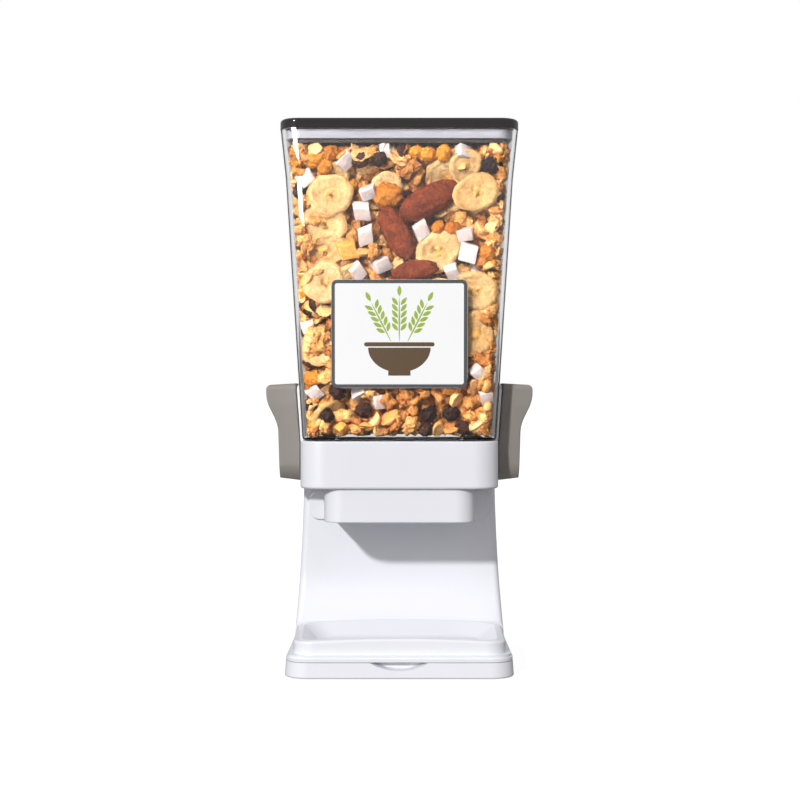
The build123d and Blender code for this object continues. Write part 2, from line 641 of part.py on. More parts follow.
def parts():
    named = {
        "base_ring": base_ring(),
        "base_floor": base_floor(),
        "base_cover": base_cover(),
        "catch_tray": catch_tray(),
        "column_front": column_front(),
        "column_cover": column_cover(),
        "collar": collar(),
        "spout": spout(),
        "spout_plate": spout_plate(),
        "feed_funnel": feed_funnel(),
        "gate_shutter": gate_shutter(),
        "hopper_tub": hopper_tub(),
        "hopper_label": hopper_label(),
        "lid_cover": lid_cover(),
        "lid_plug": lid_plug(),
        "lid_gasket": lid_gasket(),
    }
    left_and_right = {
        "gate_axle": gate_axle(),
        "axle_bush": axle_bush(),
        "return_spring": return_spring(),
        "lever": lever(),
    }
    for name, shape in left_and_right.items():
        named[name + "_left"] = shape
        named[name + "_right"] = on_right(shape)
    for number, (x, y) in enumerate(corners(FOOT_X, FOOT_Y), start=1):
        named[f"foot_{number}"] = foot(x, y)
    for number, (x, y) in enumerate(corners(BASE_SCREW_X, BASE_SCREW_Y), start=1):
        named[f"base_screw_{number}"] = base_screw(x, y)
    for number, (x, z) in enumerate(cover_screw_places(), start=1):
        named[f"cover_screw_{number}"] = cover_screw(x, z)
    return named


os.makedirs("parts", exist_ok=True)
for name, shape in parts().items():
    export_step(shape, f"parts/{name}.step")
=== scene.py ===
import json
import math

import bmesh
import bpy
import numpy as np
from mathutils import Euler, Matrix, Vector, noise


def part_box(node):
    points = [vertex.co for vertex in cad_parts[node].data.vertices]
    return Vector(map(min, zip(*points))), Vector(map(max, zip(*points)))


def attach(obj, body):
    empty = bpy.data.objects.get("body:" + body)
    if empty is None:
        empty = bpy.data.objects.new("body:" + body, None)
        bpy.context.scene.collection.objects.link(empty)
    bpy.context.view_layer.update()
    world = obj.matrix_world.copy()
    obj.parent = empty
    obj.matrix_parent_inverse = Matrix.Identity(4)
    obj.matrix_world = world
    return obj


# The dispenser's looks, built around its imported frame. Metres, with the front towards -Y.

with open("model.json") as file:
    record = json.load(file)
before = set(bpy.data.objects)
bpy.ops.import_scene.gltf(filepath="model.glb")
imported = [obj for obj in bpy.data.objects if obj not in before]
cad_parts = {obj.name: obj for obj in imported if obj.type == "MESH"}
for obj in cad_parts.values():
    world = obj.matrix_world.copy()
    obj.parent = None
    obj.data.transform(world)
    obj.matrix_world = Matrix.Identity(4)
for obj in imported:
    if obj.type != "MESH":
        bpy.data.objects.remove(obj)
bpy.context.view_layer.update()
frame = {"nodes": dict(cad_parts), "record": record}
MM = 0.001

# Camera: level, straight in front, at the height and distance of a product shot
CAMERA_DISTANCE = 1200 * MM
CAMERA_HEIGHT = 209.3 * MM
CAMERA_X = 0.5 * MM
LENS = 67.1

# Light: one key from the upper left, a softbox seen only in highlights, a pale sky and a pale floor
KEY_DIRECTION = (0.362, 0.845, -0.393)
KEY_STRENGTH = 2.25
KEY_ANGLE = math.radians(3.0)
SOFTBOX_PLACE = (-0.76, -1.05, 0.45)
SOFTBOX_AIM = (-0.08, -0.06, 0.40)
SOFTBOX_SIZE = (0.50, 0.14)
SOFTBOX_POWER = 12.0
SKY_LIGHT = 0.52
SKY_SEEN = 1.0
SKY_THROUGH_GLASS = 0.82
FLOOR_SIZE = 60.0
FLOOR_SEEN = 0.25
FLOOR_GLOW = 0.86
FLOOR_BOUNCE = 0.2

# The hopper's spigot and floor under the cereal, its inner corner, and the levels it is measured at
SPIGOT_DEPTH = 6.0
HOPPER_FLOOR = 3.2
INNER_CORNER = 11.8 * MM
HOLLOW_LEVELS = 60

# Cereal: gaps to the walls and lid, and the depth and spacing of each layer behind a wall
WALL_GAP = 0.4 * MM
LID_GAP = 0.4 * MM
LAYERS = ((0.0, 10.5 * MM), (7.5 * MM, 11.0 * MM), (14.0 * MM, 13.0 * MM))
PUSHES = 6
FOOD_SHINE = 0.12
SEED = 11

# Pieces that fill the walls: how far they sink behind listed ones, and how they vary
HIDDEN_DEPTH = 10.5 * MM
HERO_DEPTH = 16.0 * MM
FILL_EDGE = 3 * MM
FILL_JITTER = 0.28
FILL_SCALE = (0.72, 1.12)
FILL_LEAN = 70

# Pieces round the corners, over the top, and the dark core behind them all, whose colour is painted shade;
# jitters in millimetres
CORNER_SPACING = 6.5 * MM
CORNER_ANGLES = (0.0, math.radians(35), math.radians(70))
CORNER_SCALE = (0.42, 0.68)
CORNER_JITTER = 2
CORNER_WEIGHTS = {"granola": 0.5, "flake": 0.2, "nut": 0.2, "golden_raisin": 0.06, "dark_raisin": 0.04}
TOP_SPACING = 12 * MM
TOP_DEPTH = 7 * MM
TOP_JITTER = 3
CORE_INSET = 25.0 * MM
CORE_LIFT = 12 * MM
CORE_DROP = 18 * MM

# Half sizes of the pieces, in millimetres
CHIP_RADIUS = 18.5 * MM
HALF_SIZES = {
    "granola": (8.0, 6.4, 5.0),
    "crumb": (8.6, 7.4, 5.6),
    "flake": (8.6, 7.2, 6.0),
    "nut": (8.0, 5.6, 5.4),
    "raisin": (7.2, 5.8, 4.8),
    "cube": (6.0, 5.4, 4.6),
    "apricot": (25.0, 11.5, 6.0),
}

# Label print, in millimetres on the label
LABEL_THICKNESS = 0.4
FRAME_INSET = 0.15
FRAME_LINE = 2.7
FRAME_CORNER = 4.4
PRINT_LIFT = 0.05
BOWL_LEVEL = 31.0
BOWL_HALF_WIDTH = 24
BOWL_DEPTH = 19
BOWL_RIM = (27.0, 0.9, 4.1, 1.5)
BOWL_FOOT_HALF_WIDTH = 9
BOWL_FOOT_DROP = 21.5
EAR_FOOT = 34.0
EAR_SPREAD = 5.5
EAR_LEAN = 27
EAR_PAIRS = 5
EAR_PAIR_START = 10
EAR_PAIR_STEP = 4.9
EAR_GRAIN_LEAN = 38


# ---------------------------------------------------------------- materials

def new_material(name):
    """A material with an empty shader, and that shader."""
    material = bpy.data.materials.new(name)
    material.use_nodes = True
    shader = material.node_tree.nodes["Principled BSDF"]
    return material, shader


def set_sockets(shader, **values):
    """Sets the shader's own sockets; an underscore stands for a space."""
    for name, value in values.items():
        shader.inputs[name.replace("_", " ")].default_value = value


def add(material, kind, **settings):
    """A new node; settings are its properties, or its sockets where it has no such property."""
    node = material.node_tree.nodes.new(kind)
    for name, value in settings.items():
        if hasattr(node, name):
            setattr(node, name, value)
        else:
            node.inputs[name].default_value = value
    return node


def join(material, source, target):
    material.node_tree.links.new(source, target)


def noise_at(material, scale, detail=3.0, roughness=0.5):
    """Noise in the object's own coordinates."""
    place = add(material, "ShaderNodeTexCoord")
    texture = add(material, "ShaderNodeTexNoise", Scale=scale, Detail=detail, Roughness=roughness)
    join(material, place.outputs["Object"], texture.inputs["Vector"])
    return texture.outputs["Fac"]


def ramp(material, fac, stops):
    """A colour ramp with stops of (position, colour)."""
    node = add(material, "ShaderNodeValToRGB")
    elements = node.color_ramp.elements
    for (position, colour), element in zip(stops, elements):
        element.position = position
        element.color = (*colour, 1)
    for position, colour in stops[2:]:
        elements.new(position).color = (*colour, 1)
    join(material, fac, node.inputs["Fac"])
    return node.outputs["Color"]


def bump(material, shader, height, strength, distance):
    node = add(material, "ShaderNodeBump", Strength=strength, Distance=distance)
    join(material, height, node.inputs["Height"])
    join(material, node.outputs["Normal"], shader.inputs["Normal"])


def mix_colours(material, fac, first, second, blend="MIX"):
    node = add(material, "ShaderNodeMix", data_type="RGBA", blend_type=blend)
    if isinstance(fac, float):
        node.inputs[0].default_value = fac
    else:
        join(material, fac, node.inputs[0])
    join(material, first, node.inputs[6])
    join(material, second, node.inputs[7])
    return node.outputs[2]


def attribute(material, name):
    return add(material, "ShaderNodeAttribute", attribute_name=name).outputs["Fac"]


def moulded(name, light, dark, roughness, grain_scale, grain, coat=0.0):
    """Moulded plastic: two close shades in soft patches, and a fine moulded grain."""
    material, shader = new_material(name)
    set_sockets(shader, Roughness=roughness, Coat_Weight=coat, Coat_Roughness=0.12)
    patches = noise_at(material, 9.0)
    colour = ramp(material, patches, [(0.35, dark), (0.65, light)])
    join(material, colour, shader.inputs["Base Color"])
    bump(material, shader, noise_at(material, grain_scale, 2.0), grain, 0.0002)
    return material


def let_lamps_through(material, shader, square, grazing):
    """Lets shadow rays through, tinted one way where they meet the wall squarely and another at its edges."""
    facing = add(material, "ShaderNodeLayerWeight", Blend=0.5).outputs["Facing"]
    tint = ramp(material, facing, [(0.25, square), (0.6, grazing)])
    path = add(material, "ShaderNodeLightPath")
    clear = add(material, "ShaderNodeBsdfTransparent")
    mixed = add(material, "ShaderNodeMixShader")
    join(material, tint, clear.inputs["Color"])
    join(material, path.outputs["Is Shadow Ray"], mixed.inputs["Fac"])
    join(material, shader.outputs["BSDF"], mixed.inputs[1])
    join(material, clear.outputs["BSDF"], mixed.inputs[2])
    join(material, mixed.outputs["Shader"], material.node_tree.nodes["Material Output"].inputs["Surface"])


def clear_plastic():
    material, shader = new_material("clear_plastic")
    set_sockets(shader, Base_Color=(0.985, 0.985, 0.99, 1), Roughness=0.01, IOR=1.46, Transmission_Weight=1.0)
    set_sockets(shader, Specular_IOR_Level=0.2)
    bump(material, shader, noise_at(material, 14.0, 1.0), 0.03, 0.0006)
    let_lamps_through(material, shader, (0.97, 0.97, 0.98), (0.08, 0.08, 0.08))
    return material


def smoke_plastic():
    material, shader = new_material("smoke_plastic")
    set_sockets(shader, Roughness=0.09, IOR=1.46, Transmission_Weight=0.6, Coat_Weight=0.4)
    stops = [(0.3, (0.030, 0.027, 0.027)), (0.7, (0.042, 0.038, 0.037))]
    colour = ramp(material, noise_at(material, 8.0), stops)
    join(material, colour, shader.inputs["Base Color"])
    let_lamps_through(material, shader, (0.5, 0.48, 0.47), (0.2, 0.2, 0.2))
    return material


def thin_smoke_and_painted_shade():
    """The plug's thin wall, which shows the cereal behind it; its warm brown tint is painted shade for the
    shaded gap over the cereal.
    """
    material, shader = new_material("thin_smoke_and_painted_shade")
    set_sockets(shader, Roughness=0.12, IOR=1.46, Transmission_Weight=0.9)
    # The warm brown is painted shade for the shaded gap between the plug and the cereal; the smoke tint under
    # it is the plastic's own.
    colour = ramp(material, noise_at(material, 8.0), [(0.3, (0.40, 0.33, 0.31)), (0.7, (0.46, 0.38, 0.36))])
    join(material, colour, shader.inputs["Base Color"])
    let_lamps_through(material, shader, (0.6, 0.55, 0.53), (0.2, 0.2, 0.2))
    return material


def silicone():
    material, shader = new_material("gasket_silicone")
    set_sockets(shader, Roughness=0.35, Transmission_Weight=0.25, IOR=1.41)
    colour = ramp(material, noise_at(material, 30.0), [(0.3, (0.30, 0.29, 0.32)), (0.7, (0.37, 0.36, 0.39))])
    join(material, colour, shader.inputs["Base Color"])
    return material


def metal():
    material, shader = new_material("zinc_steel")
    set_sockets(shader, Metallic=1.0)
    colour = ramp(material, noise_at(material, 260.0), [(0.3, (0.5, 0.5, 0.5)), (0.7, (0.68, 0.68, 0.68))])
    join(material, colour, shader.inputs["Base Color"])
    rough = ramp(material, noise_at(material, 400.0), [(0.2, (0.25, 0.25, 0.25)), (0.8, (0.45, 0.45, 0.45))])
    join(material, rough, shader.inputs["Roughness"])
    return material


def food(name, stops, roughness, grain_scale, grain, subsurface=0.0, mottle=0.35, rim=None, heart=None):
    """Cereal: each bit has its own tint, with mottling, a rough surface, and a coloured rim or heart."""
    material, shader = new_material(name)
    set_sockets(shader, Roughness=roughness, Subsurface_Weight=subsurface, Subsurface_Scale=0.004)
    set_sockets(shader, Specular_IOR_Level=FOOD_SHINE)
    shader.inputs["Subsurface Radius"].default_value = (1.0, 0.5, 0.25)
    colour = ramp(material, attribute(material, "tint"), stops)
    spot_stops = [(0.36, (0.58, 0.44, 0.32)), (0.62, (1.1, 1.1, 1.1))]
    for scale in (0.4 * grain_scale, 1.5 * grain_scale):
        spots = ramp(material, noise_at(material, scale), spot_stops)
        colour = mix_colours(material, mottle, colour, mix_colours(material, 1.0, colour, spots, "MULTIPLY"))
    for zone in (rim, heart):
        if zone:
            start, end, first, second = zone
            edge = add(material, "ShaderNodeMapRange")
            join(material, attribute(material, "radial"), edge.inputs["Value"])
            edge.inputs["From Min"].default_value = start
            edge.inputs["From Max"].default_value = end
            shade = ramp(material, noise_at(material, grain_scale), [(0.35, first), (0.6, second)])
            colour = mix_colours(material, edge.outputs["Result"], colour, shade)
    join(material, colour, shader.inputs["Base Color"])
    bump(material, shader, noise_at(material, grain_scale, 5.0, 0.6), grain, 0.002)
    return material


def ink(name, light, dark):
    """Printed ink, very slightly uneven."""
    material, shader = new_material(name)
    set_sockets(shader, Roughness=0.45)
    colour = ramp(material, noise_at(material, 500.0), [(0.35, dark), (0.6, light)])
    join(material, colour, shader.inputs["Base Color"])
    return material


# ---------------------------------------------------------------- meshes

def piece_from(name, vertices, triangles, material, body, attributes=None, smooth=True):
    """A mesh object made of triangles that rides on a body."""
    vertices = np.asarray(vertices, dtype=np.float32)
    triangles = np.asarray(triangles, dtype=np.int32)
    mesh = bpy.data.meshes.new(name)
    mesh.vertices.add(len(vertices))
    mesh.vertices.foreach_set("co", vertices.ravel())
    mesh.loops.add(triangles.size)
    mesh.loops.foreach_set("vertex_index", triangles.ravel())
    mesh.polygons.add(len(triangles))
    mesh.polygons.foreach_set("loop_start", np.arange(0, triangles.size, 3, dtype=np.int32))
    mesh.polygons.foreach_set("use_smooth", [smooth] * len(triangles))
    mesh.update(calc_edges=True)
    for key, values in (attributes or {}).items():
        layer = mesh.attributes.new(key, "FLOAT", "POINT")
        layer.data.foreach_set("value", np.asarray(values, dtype=np.float32))
    mesh.materials.append(material)
    mesh.validate()
    obj = bpy.data.objects.new(name, mesh)
    bpy.context.scene.collection.objects.link(obj)
    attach(obj, body)
    return obj


def ball(subdivisions):
    """A unit icosphere as (vertices, triangles)."""
    bm = bmesh.new()
    bmesh.ops.create_icosphere(bm, subdivisions=subdivisions, radius=1.0)
    return arrays(bm)


def arrays(bm):
    """The vertices and triangles of a bmesh, which is freed."""
    bmesh.ops.triangulate(bm, faces=bm.faces[:])
    bm.verts.ensure_lookup_table()
    vertices = np.array([v.co[:] for v in bm.verts])
    triangles = np.array([[v.index for v in f.verts] for f in bm.faces])
    bm.free()
    return vertices, triangles


def radial_of(vertices):
    """How far out each vertex is, from 0 at the middle to 1 at the rim, seen along Z."""
    reach = np.hypot(vertices[:, 0], vertices[:, 1])
    return reach / reach.max()


def swell(vertices, scale, amount, octaves, seed):
    """Pushes each vertex in or out by noise."""
    shift = Vector((seed * 3.7, seed * 1.3, seed * 2.9))
    factor = [
        1 + amount * noise.fractal(Vector(v) * scale + shift, 0.7, 2.1, octaves)
        for v in vertices
    ]
    return vertices * np.array(factor)[:, None]


def sized(vertices, kind):
    """A unit shape brought to the size of its kind."""
    return vertices * (np.array(HALF_SIZES[kind]) * MM)


def cluster(seed):
    """A crumbly lump of baked oats."""
    vertices, faces = ball(3)
    vertices = swell(vertices, 1.1, 0.55, 2, seed)
    vertices = swell(vertices, 3.2, 0.5, 4, seed + 50)
    return sized(vertices, "granola"), faces


def crumb(seed):
    """A coarse lump for the layers behind."""
    vertices, faces = ball(2)
    vertices = swell(vertices, 1.3, 0.6, 3, seed)
    return sized(vertices, "crumb"), faces


def flake(seed):
    """A curled, ragged flake."""
    vertices, faces = ball(3)
    vertices = swell(vertices * (1, 1, 0.22), 1.6, 0.5, 3, seed)
    curl = 0.5 * vertices[:, 0] ** 2 - 0.2 * vertices[:, 1] ** 2
    vertices[:, 2] += curl
    return sized(vertices, "flake"), faces


def nut(seed):
    """Half a nut: flat on one side, with a shallow rim round the flat."""
    vertices, faces = ball(3)
    vertices = swell(vertices, 1.0, 0.18, 2, seed)
    flat = vertices[:, 2] > 0.12
    reach = radial_of(vertices)
    vertices[flat, 2] = 0.12 + 0.14 * reach[flat] ** 4 - 0.05 * (1 - reach[flat])
    return sized(vertices, "nut"), faces


def raisin(seed):
    """A wrinkled raisin."""
    vertices, faces = ball(4)
    shift = Vector((seed * 5.1, seed, -seed))
    factor = []
    for v in vertices:
        fold = abs(noise.noise(Vector(v) * 2.3 + shift))
        crease = abs(noise.noise(Vector(v) * 5.2 - shift))
        factor.append(0.84 + 0.5 * min(fold, 0.45) + 0.18 * crease)
    vertices = vertices * np.array(factor)[:, None]
    return sized(vertices, "raisin"), faces


def cube(seed):
    """A cut cube with soft edges, a little out of square."""
    bm = bmesh.new()
    bmesh.ops.create_cube(bm, size=2.0)
    bmesh.ops.bevel(bm, geom=bm.edges[:], offset=0.16, segments=2, profile=0.6, affect="EDGES")
    bmesh.ops.subdivide_edges(bm, edges=bm.edges[:], cuts=1, use_grid_fill=True)
    vertices, faces = arrays(bm)
    rng = np.random.default_rng(seed)
    skew = np.eye(3) + rng.uniform(-0.16, 0.16, (3, 3))
    taper = 1 - 0.14 * (vertices[:, 2:3] + 1) / 2 * rng.uniform(0.2, 1.0)
    vertices = swell(vertices @ skew * (taper * (1, 1, 0) + (0, 0, 1)), 1.4, 0.05, 2, seed)
    return sized(vertices, "cube"), faces


def chip(seed):
    """A dried banana slice: a cupped disc with a ridged rim and a core."""
    rings, spokes = 14, 44
    rng = np.random.default_rng(seed)
    lobes = rng.uniform(0, 2 * math.pi, 3)
    cup = rng.uniform(0.04, 0.12)
    core = rng.uniform(0.26, 0.36)
    vertices = []
    for side in (1, -1):
        for ring in range(rings + 1):
            t = ring / rings
            for spoke in range(spokes):
                a = 2 * math.pi * spoke / spokes
                edge = 1 + 0.05 * math.cos(2 * a + lobes[0]) + 0.035 * math.cos(3 * a + lobes[1])
                edge += 0.02 * math.cos(7 * a + lobes[2])
                x, y = t * edge * math.cos(a), 0.86 * t * edge * math.sin(a)
                thick = 0.10 * math.sqrt(max(0.0, 1 - t ** 6))
                groove = -0.035 * math.exp(-((t - core) / 0.05) ** 2)
                ridge = 0.05 * math.exp(-((t - 0.82) / 0.16) ** 2)
                wave = 0.03 * noise.noise(Vector((x * 3, y * 3, seed)))
                bend = cup * (x * x - 0.5 * y * y) + wave
                vertices.append((x, y, side * (thick + groove + ridge * (t < 0.999)) + bend))
    vertices = np.array(vertices)
    per_side = (rings + 1) * spokes
    faces = []
    for ring in range(rings):
        for spoke in range(spokes):
            after = (spoke + 1) % spokes
            a, b = ring * spokes + spoke, ring * spokes + after
            c, d = b + spokes, a + spokes
            faces += [[a, d, c], [a + per_side, c + per_side, d + per_side]]
            if ring:
                faces += [[a, c, b], [a + per_side, b + per_side, c + per_side]]
    rim = rings * spokes
    for spoke in range(spokes):
        front, front_after = rim + spoke, rim + (spoke + 1) % spokes
        back, back_after = front + per_side, front_after + per_side
        faces += [[front, back, back_after], [front, back_after, front_after]]
    return vertices * CHIP_RADIUS, np.array(faces)


def apricot(seed):
    """A flat leathery half of dried fruit, with long folds."""
    vertices, faces = ball(5)
    shift = Vector((seed * 2.2, -seed, seed))
    factor = []
    for v in vertices:
        fold = noise.noise(Vector((v[0] * 1.1, v[1] * 3.2, v[2] * 2.5)) + shift)
        crease = abs(noise.noise(Vector((v[0] * 3, v[1] * 9, v[2] * 6)) - shift))
        factor.append(1 + 0.10 * fold + 0.06 * crease)
    vertices = vertices * np.array(factor)[:, None]
    vertices[:, 2] += 0.35 * vertices[:, 0] ** 2
    return sized(vertices, "apricot"), faces


# ---------------------------------------------------------------- cereal

SHAPES = {
    "granola": (cluster, 14),
    "crumb": (crumb, 12),
    "flake": (flake, 10),
    "nut": (nut, 8),
    "dark_raisin": (raisin, 6),
    "golden_raisin": (raisin, 6),
    "candied_cube": (cube, 5),
    "coconut": (cube, 8),
    "banana": (chip, 7),
    "apricot": (apricot, 3),
}

FILL_WEIGHTS = {
    "granola": 0.44,
    "flake": 0.17,
    "nut": 0.17,
    "dark_raisin": 0.05,
    "golden_raisin": 0.06,
    "candied_cube": 0.04,
    "coconut": 0.05,
    "banana": 0.02,
}

# Half of the straight part and the reach round it, in millimetres, of the larger listed pieces
FOOTPRINTS = {"banana": (0, 22.5), "apricot": (14, 17)}

# Pieces laid one by one at the front wall: kind, x, z, turn and tilt in degrees, size, and depth behind the
# wall
FRONT_PIECES = [
    ("banana", -53, 367, 20, 4, 1.0, 0), ("banana", -58, 345, -10, 14, 1.0, 4),
    ("banana", -58, 325, 5, 10, 0.95, 8), ("banana", -58, 300, 60, 8, 0.95, 1),
    ("banana", 59, 369, 15, 5, 0.95, 0), ("banana", 36, 383, -5, 38, 0.95, 5),
    ("banana", 51, 390, 25, 20, 0.75, 3), ("banana", 30, 324, 30, 8, 1.0, 2),
    ("banana", 58, 294, -20, 10, 1.0, 1), ("banana", 59, 260, 70, 12, 0.95, 3),
    ("banana", -51, 384, 0, 25, 0.65, 5), ("banana", 40, 367, -30, 12, 0.7, 7),
    ("banana", -38, 302, 30, 24, 0.8, 5), ("banana", -10, 374, 10, 26, 0.75, 6),
    ("apricot", 23, 363, 28, 8, 1.0, 0), ("apricot", -2, 338, -63, 6, 0.88, 0),
    ("apricot", 12, 309, 10, 10, 0.7, 0), ("golden_raisin", -9, 367, 0, 0, 1.7, 0),
    ("coconut", -72, 380, 30, 20, 1.05, 0), ("coconut", -41, 394, 45, 25, 1.15, 0),
    ("coconut", -24, 369, 15, 30, 1.0, 0), ("coconut", -29, 355, 0, 35, 1.0, 0),
    ("coconut", -26, 336, 12, 30, 1.05, 0), ("coconut", 17, 340, 28, 20, 1.05, 0),
    ("coconut", 51, 337, 4, 20, 1.05, 0), ("coconut", 53, 323, -14, 10, 1.15, 0),
    ("coconut", -32, 308, 40, 25, 1.0, 0), ("coconut", 41, 308, 20, 30, 0.95, 0),
    ("coconut", 60, 231, 40, 30, 0.8, 0), ("coconut", -71, 267, 15, 20, 1.0, 0),
    ("coconut", -66, 215, 40, 25, 0.85, 0), ("coconut", 68, 212, 10, 30, 0.85, 0),
    ("dark_raisin", -30, 394, 20, 10, 1.0, 0), ("dark_raisin", -15, 396, 80, 10, 1.0, 0),
    ("dark_raisin", -76, 371, 70, 10, 0.95, 0), ("dark_raisin", 72, 392, 50, 10, 1.3, 0),
    ("dark_raisin", -28, 202, 10, 10, 0.95, 0), ("dark_raisin", -58, 198, -35, 10, 1.05, 0),
    ("dark_raisin", 23, 198, 60, 10, 0.95, 0), ("dark_raisin", 40, 199, 10, 10, 0.95, 0),
    ("dark_raisin", -71, 239, 0, 10, 0.9, 0), ("dark_raisin", -48, 216, -30, 10, 0.95, 0),
    ("golden_raisin", -65, 394, 10, 10, 1.1, 0), ("golden_raisin", -53, 399, 30, 10, 1.0, 0),
    ("golden_raisin", -57, 388, 60, 10, 0.9, 0), ("golden_raisin", 34, 400, 80, 10, 0.95, 0),
    ("golden_raisin", 22, 398, 0, 10, 1.0, 0), ("golden_raisin", 30, 342, 70, 10, 0.8, 0),
    ("golden_raisin", 41, 341, 0, 10, 1.0, 0), ("golden_raisin", 68, 323, -20, 10, 1.0, 0),
    ("golden_raisin", -69, 226, 0, 10, 1.05, 0), ("candied_cube", -40, 325, 10, 20, 1.1, 0),
]


def inner_reach(tub, z, way):
    """The distance from the middle to the inner wall."""
    place = tub.ray_cast(Vector((0, 0, z)), way)[1]
    return abs(place.dot(way))


class Hollow:
    """The hopper's inside, measured on the frame: a tapering rounded rectangle."""

    def __init__(self, node, corner, floor, top):
        tub = frame["nodes"][node]
        self.corner = corner
        self.heights = np.linspace(floor + MM, top, HOLLOW_LEVELS)
        self.widths = [inner_reach(tub, z, Vector((1, 0, 0))) for z in self.heights]
        self.depths = [inner_reach(tub, z, Vector((0, -1, 0))) for z in self.heights]

    def half_sizes(self, z):
        """Half the width and half the depth inside the walls at a height."""
        return np.interp(z, self.heights, self.widths), np.interp(z, self.heights, self.depths)

    def outside(self, points):
        """How far each point is outside the inner wall; negative inside."""
        width, depth = self.half_sizes(points[:, 2])
        x = np.abs(points[:, 0]) - (width - self.corner)
        y = np.abs(points[:, 1]) - (depth - self.corner)
        corner = np.hypot(np.maximum(x, 0), np.maximum(y, 0))
        return corner + np.minimum(np.maximum(x, y), 0) - self.corner


def turned(turn, tilt, spin):
    """Turns a piece that faces +Z to face the front, then leans and turns it in the wall's plane."""
    face_front = Matrix.Rotation(math.radians(90), 3, "X")
    lean = Euler((math.radians(tilt), math.radians(spin), 0)).to_matrix()
    roll = Matrix.Rotation(math.radians(-turn), 3, "Y")
    return np.array(roll @ face_front @ lean)


class Cereal:
    """Collects bits of cereal by kind and by wall, and makes one piece of each kind at each wall."""

    def __init__(self, hollow, floor, ceiling):
        self.hollow = hollow
        self.floor = floor
        self.ceiling = ceiling
        self.variants = {kind: [make(n + 1) for n in range(count)] for kind, (make, count) in SHAPES.items()}
        self.bits = {}

    def place(self, kind, group, centre, rotation, size, inward, rng, sunk=0.0):
        """Pushes a bit just inside the walls and under the lid, then sinks it behind the wall."""
        shapes = self.variants[kind]
        vertices, triangles = shapes[rng.integers(len(shapes))]
        points = (vertices * size) @ rotation.T + centre
        for _ in range(PUSHES):
            for axis, half in enumerate(self.hollow.half_sizes(points[:, 2])):
                points[:, axis] -= max(0.0, (points[:, axis] - half).max() + WALL_GAP)
                points[:, axis] += max(0.0, (-points[:, axis] - half).max() + WALL_GAP)
            points = points + inward * (self.hollow.outside(points).max() + WALL_GAP)
            points[:, 2] += max(0.0, self.floor + WALL_GAP - points[:, 2].min())
            points[:, 2] -= max(0.0, points[:, 2].max() - self.ceiling)
        tint = np.full(len(points), rng.uniform())
        bit = (points + inward * sunk, triangles, tint, radial_of(vertices))
        self.bits.setdefault((kind, group), []).append(bit)

    def build(self, materials):
        for (kind, group), bits in self.bits.items():
            starts = np.cumsum([0] + [len(points) for points, _, _, _ in bits])
            points = np.concatenate([bit[0] for bit in bits])
            triangles = np.concatenate([bit[1] + start for bit, start in zip(bits, starts)])
            layers = {
                "tint": np.concatenate([bit[2] for bit in bits]),
                "radial": np.concatenate([bit[3] for bit in bits]),
            }
            name = f"cereal_{kind}_{group}"
            piece_from(name, points, triangles, materials[kind], "hopper", attributes=layers)


def wall_frames():
    """Each wall's name, the way along it, the way into the hopper and the turn that faces it."""
    frames = []
    for name, degrees in (("front", 0), ("right", 90), ("back", 180), ("left", 270)):
        turn = Matrix.Rotation(math.radians(degrees), 3, "Z")
        along = np.array(turn @ Vector((1, 0, 0)))
        inward = np.array(turn @ Vector((0, 1, 0)))
        frames.append((name, along, inward, np.array(turn)))
    return frames


def fill_walls(cereal, hollow, rng):
    """Staggered layers of small pieces on every wall: mixed ones outside, coarse lumps behind."""
    kinds = list(FILL_WEIGHTS)
    weights = np.array(list(FILL_WEIGHTS.values()))
    weights /= weights.sum()
    for name, along, inward, turn in wall_frames():
        for depth, spacing in LAYERS:
            heights = np.arange(cereal.floor + spacing / 2, cereal.ceiling, spacing)
            heights = np.append(heights, cereal.ceiling)
            for row, z in enumerate(heights):
                width, length = hollow.half_sizes(z)
                half, reach = (width, length) if name in ("front", "back") else (length, width)
                half -= depth + FILL_EDGE
                count = max(2, round(2 * half / spacing))
                for column in range(count):
                    u = (column + 0.5 + 0.5 * (row % 2 - 0.5)) / count * 2 - 1
                    shift = rng.uniform(-FILL_JITTER, FILL_JITTER, 2) * spacing
                    kind = kinds[rng.choice(len(kinds), p=weights)] if depth == 0 else "crumb"
                    size = rng.uniform(*FILL_SCALE)
                    roll = rng.uniform(0, 360)
                    tilt, spin = rng.uniform(-FILL_LEAN, FILL_LEAN), rng.uniform(-FILL_LEAN, FILL_LEAN)
                    rotation = turn @ turned(roll, tilt, spin)
                    place = along * (u * half + shift[0])
                    centre = place - inward * reach + (0, 0, z + shift[1])
                    hidden = covered(centre[0], centre[2])
                    if hidden and name != "front" and centre[1] < HERO_DEPTH - length:
                        continue
                    sunk = depth + HIDDEN_DEPTH * (hidden and name == "front")
                    cereal.place(kind, name, centre, rotation, size, inward, rng, sunk)


def covered(x, z):
    """Whether a listed piece already fills this spot on the front."""
    for kind, px, pz, turn, _, size, _ in FRONT_PIECES:
        half_length, reach = FOOTPRINTS.get(kind, (0, 9.5))
        dx, dz = x / MM - px, z / MM - pz
        angle = math.radians(turn)
        along = dx * math.cos(angle) + dz * math.sin(angle)
        along -= max(-half_length, min(half_length, along))
        across = dz * math.cos(angle) - dx * math.sin(angle)
        if math.hypot(along, across) < reach * size:
            return True
    return False


def lay_front(cereal, hollow, rng):
    """The pieces that show best, each laid flat at the front wall."""
    for kind, x, z, turn, tilt, size, behind in FRONT_PIECES:
        _, depth = hollow.half_sizes(z * MM)
        centre = np.array((x * MM, -depth, z * MM))
        rotation = turned(turn, tilt, 0)
        cereal.place(kind, "front", centre, rotation, size, np.array((0.0, 1.0, 0.0)), rng, behind * MM)


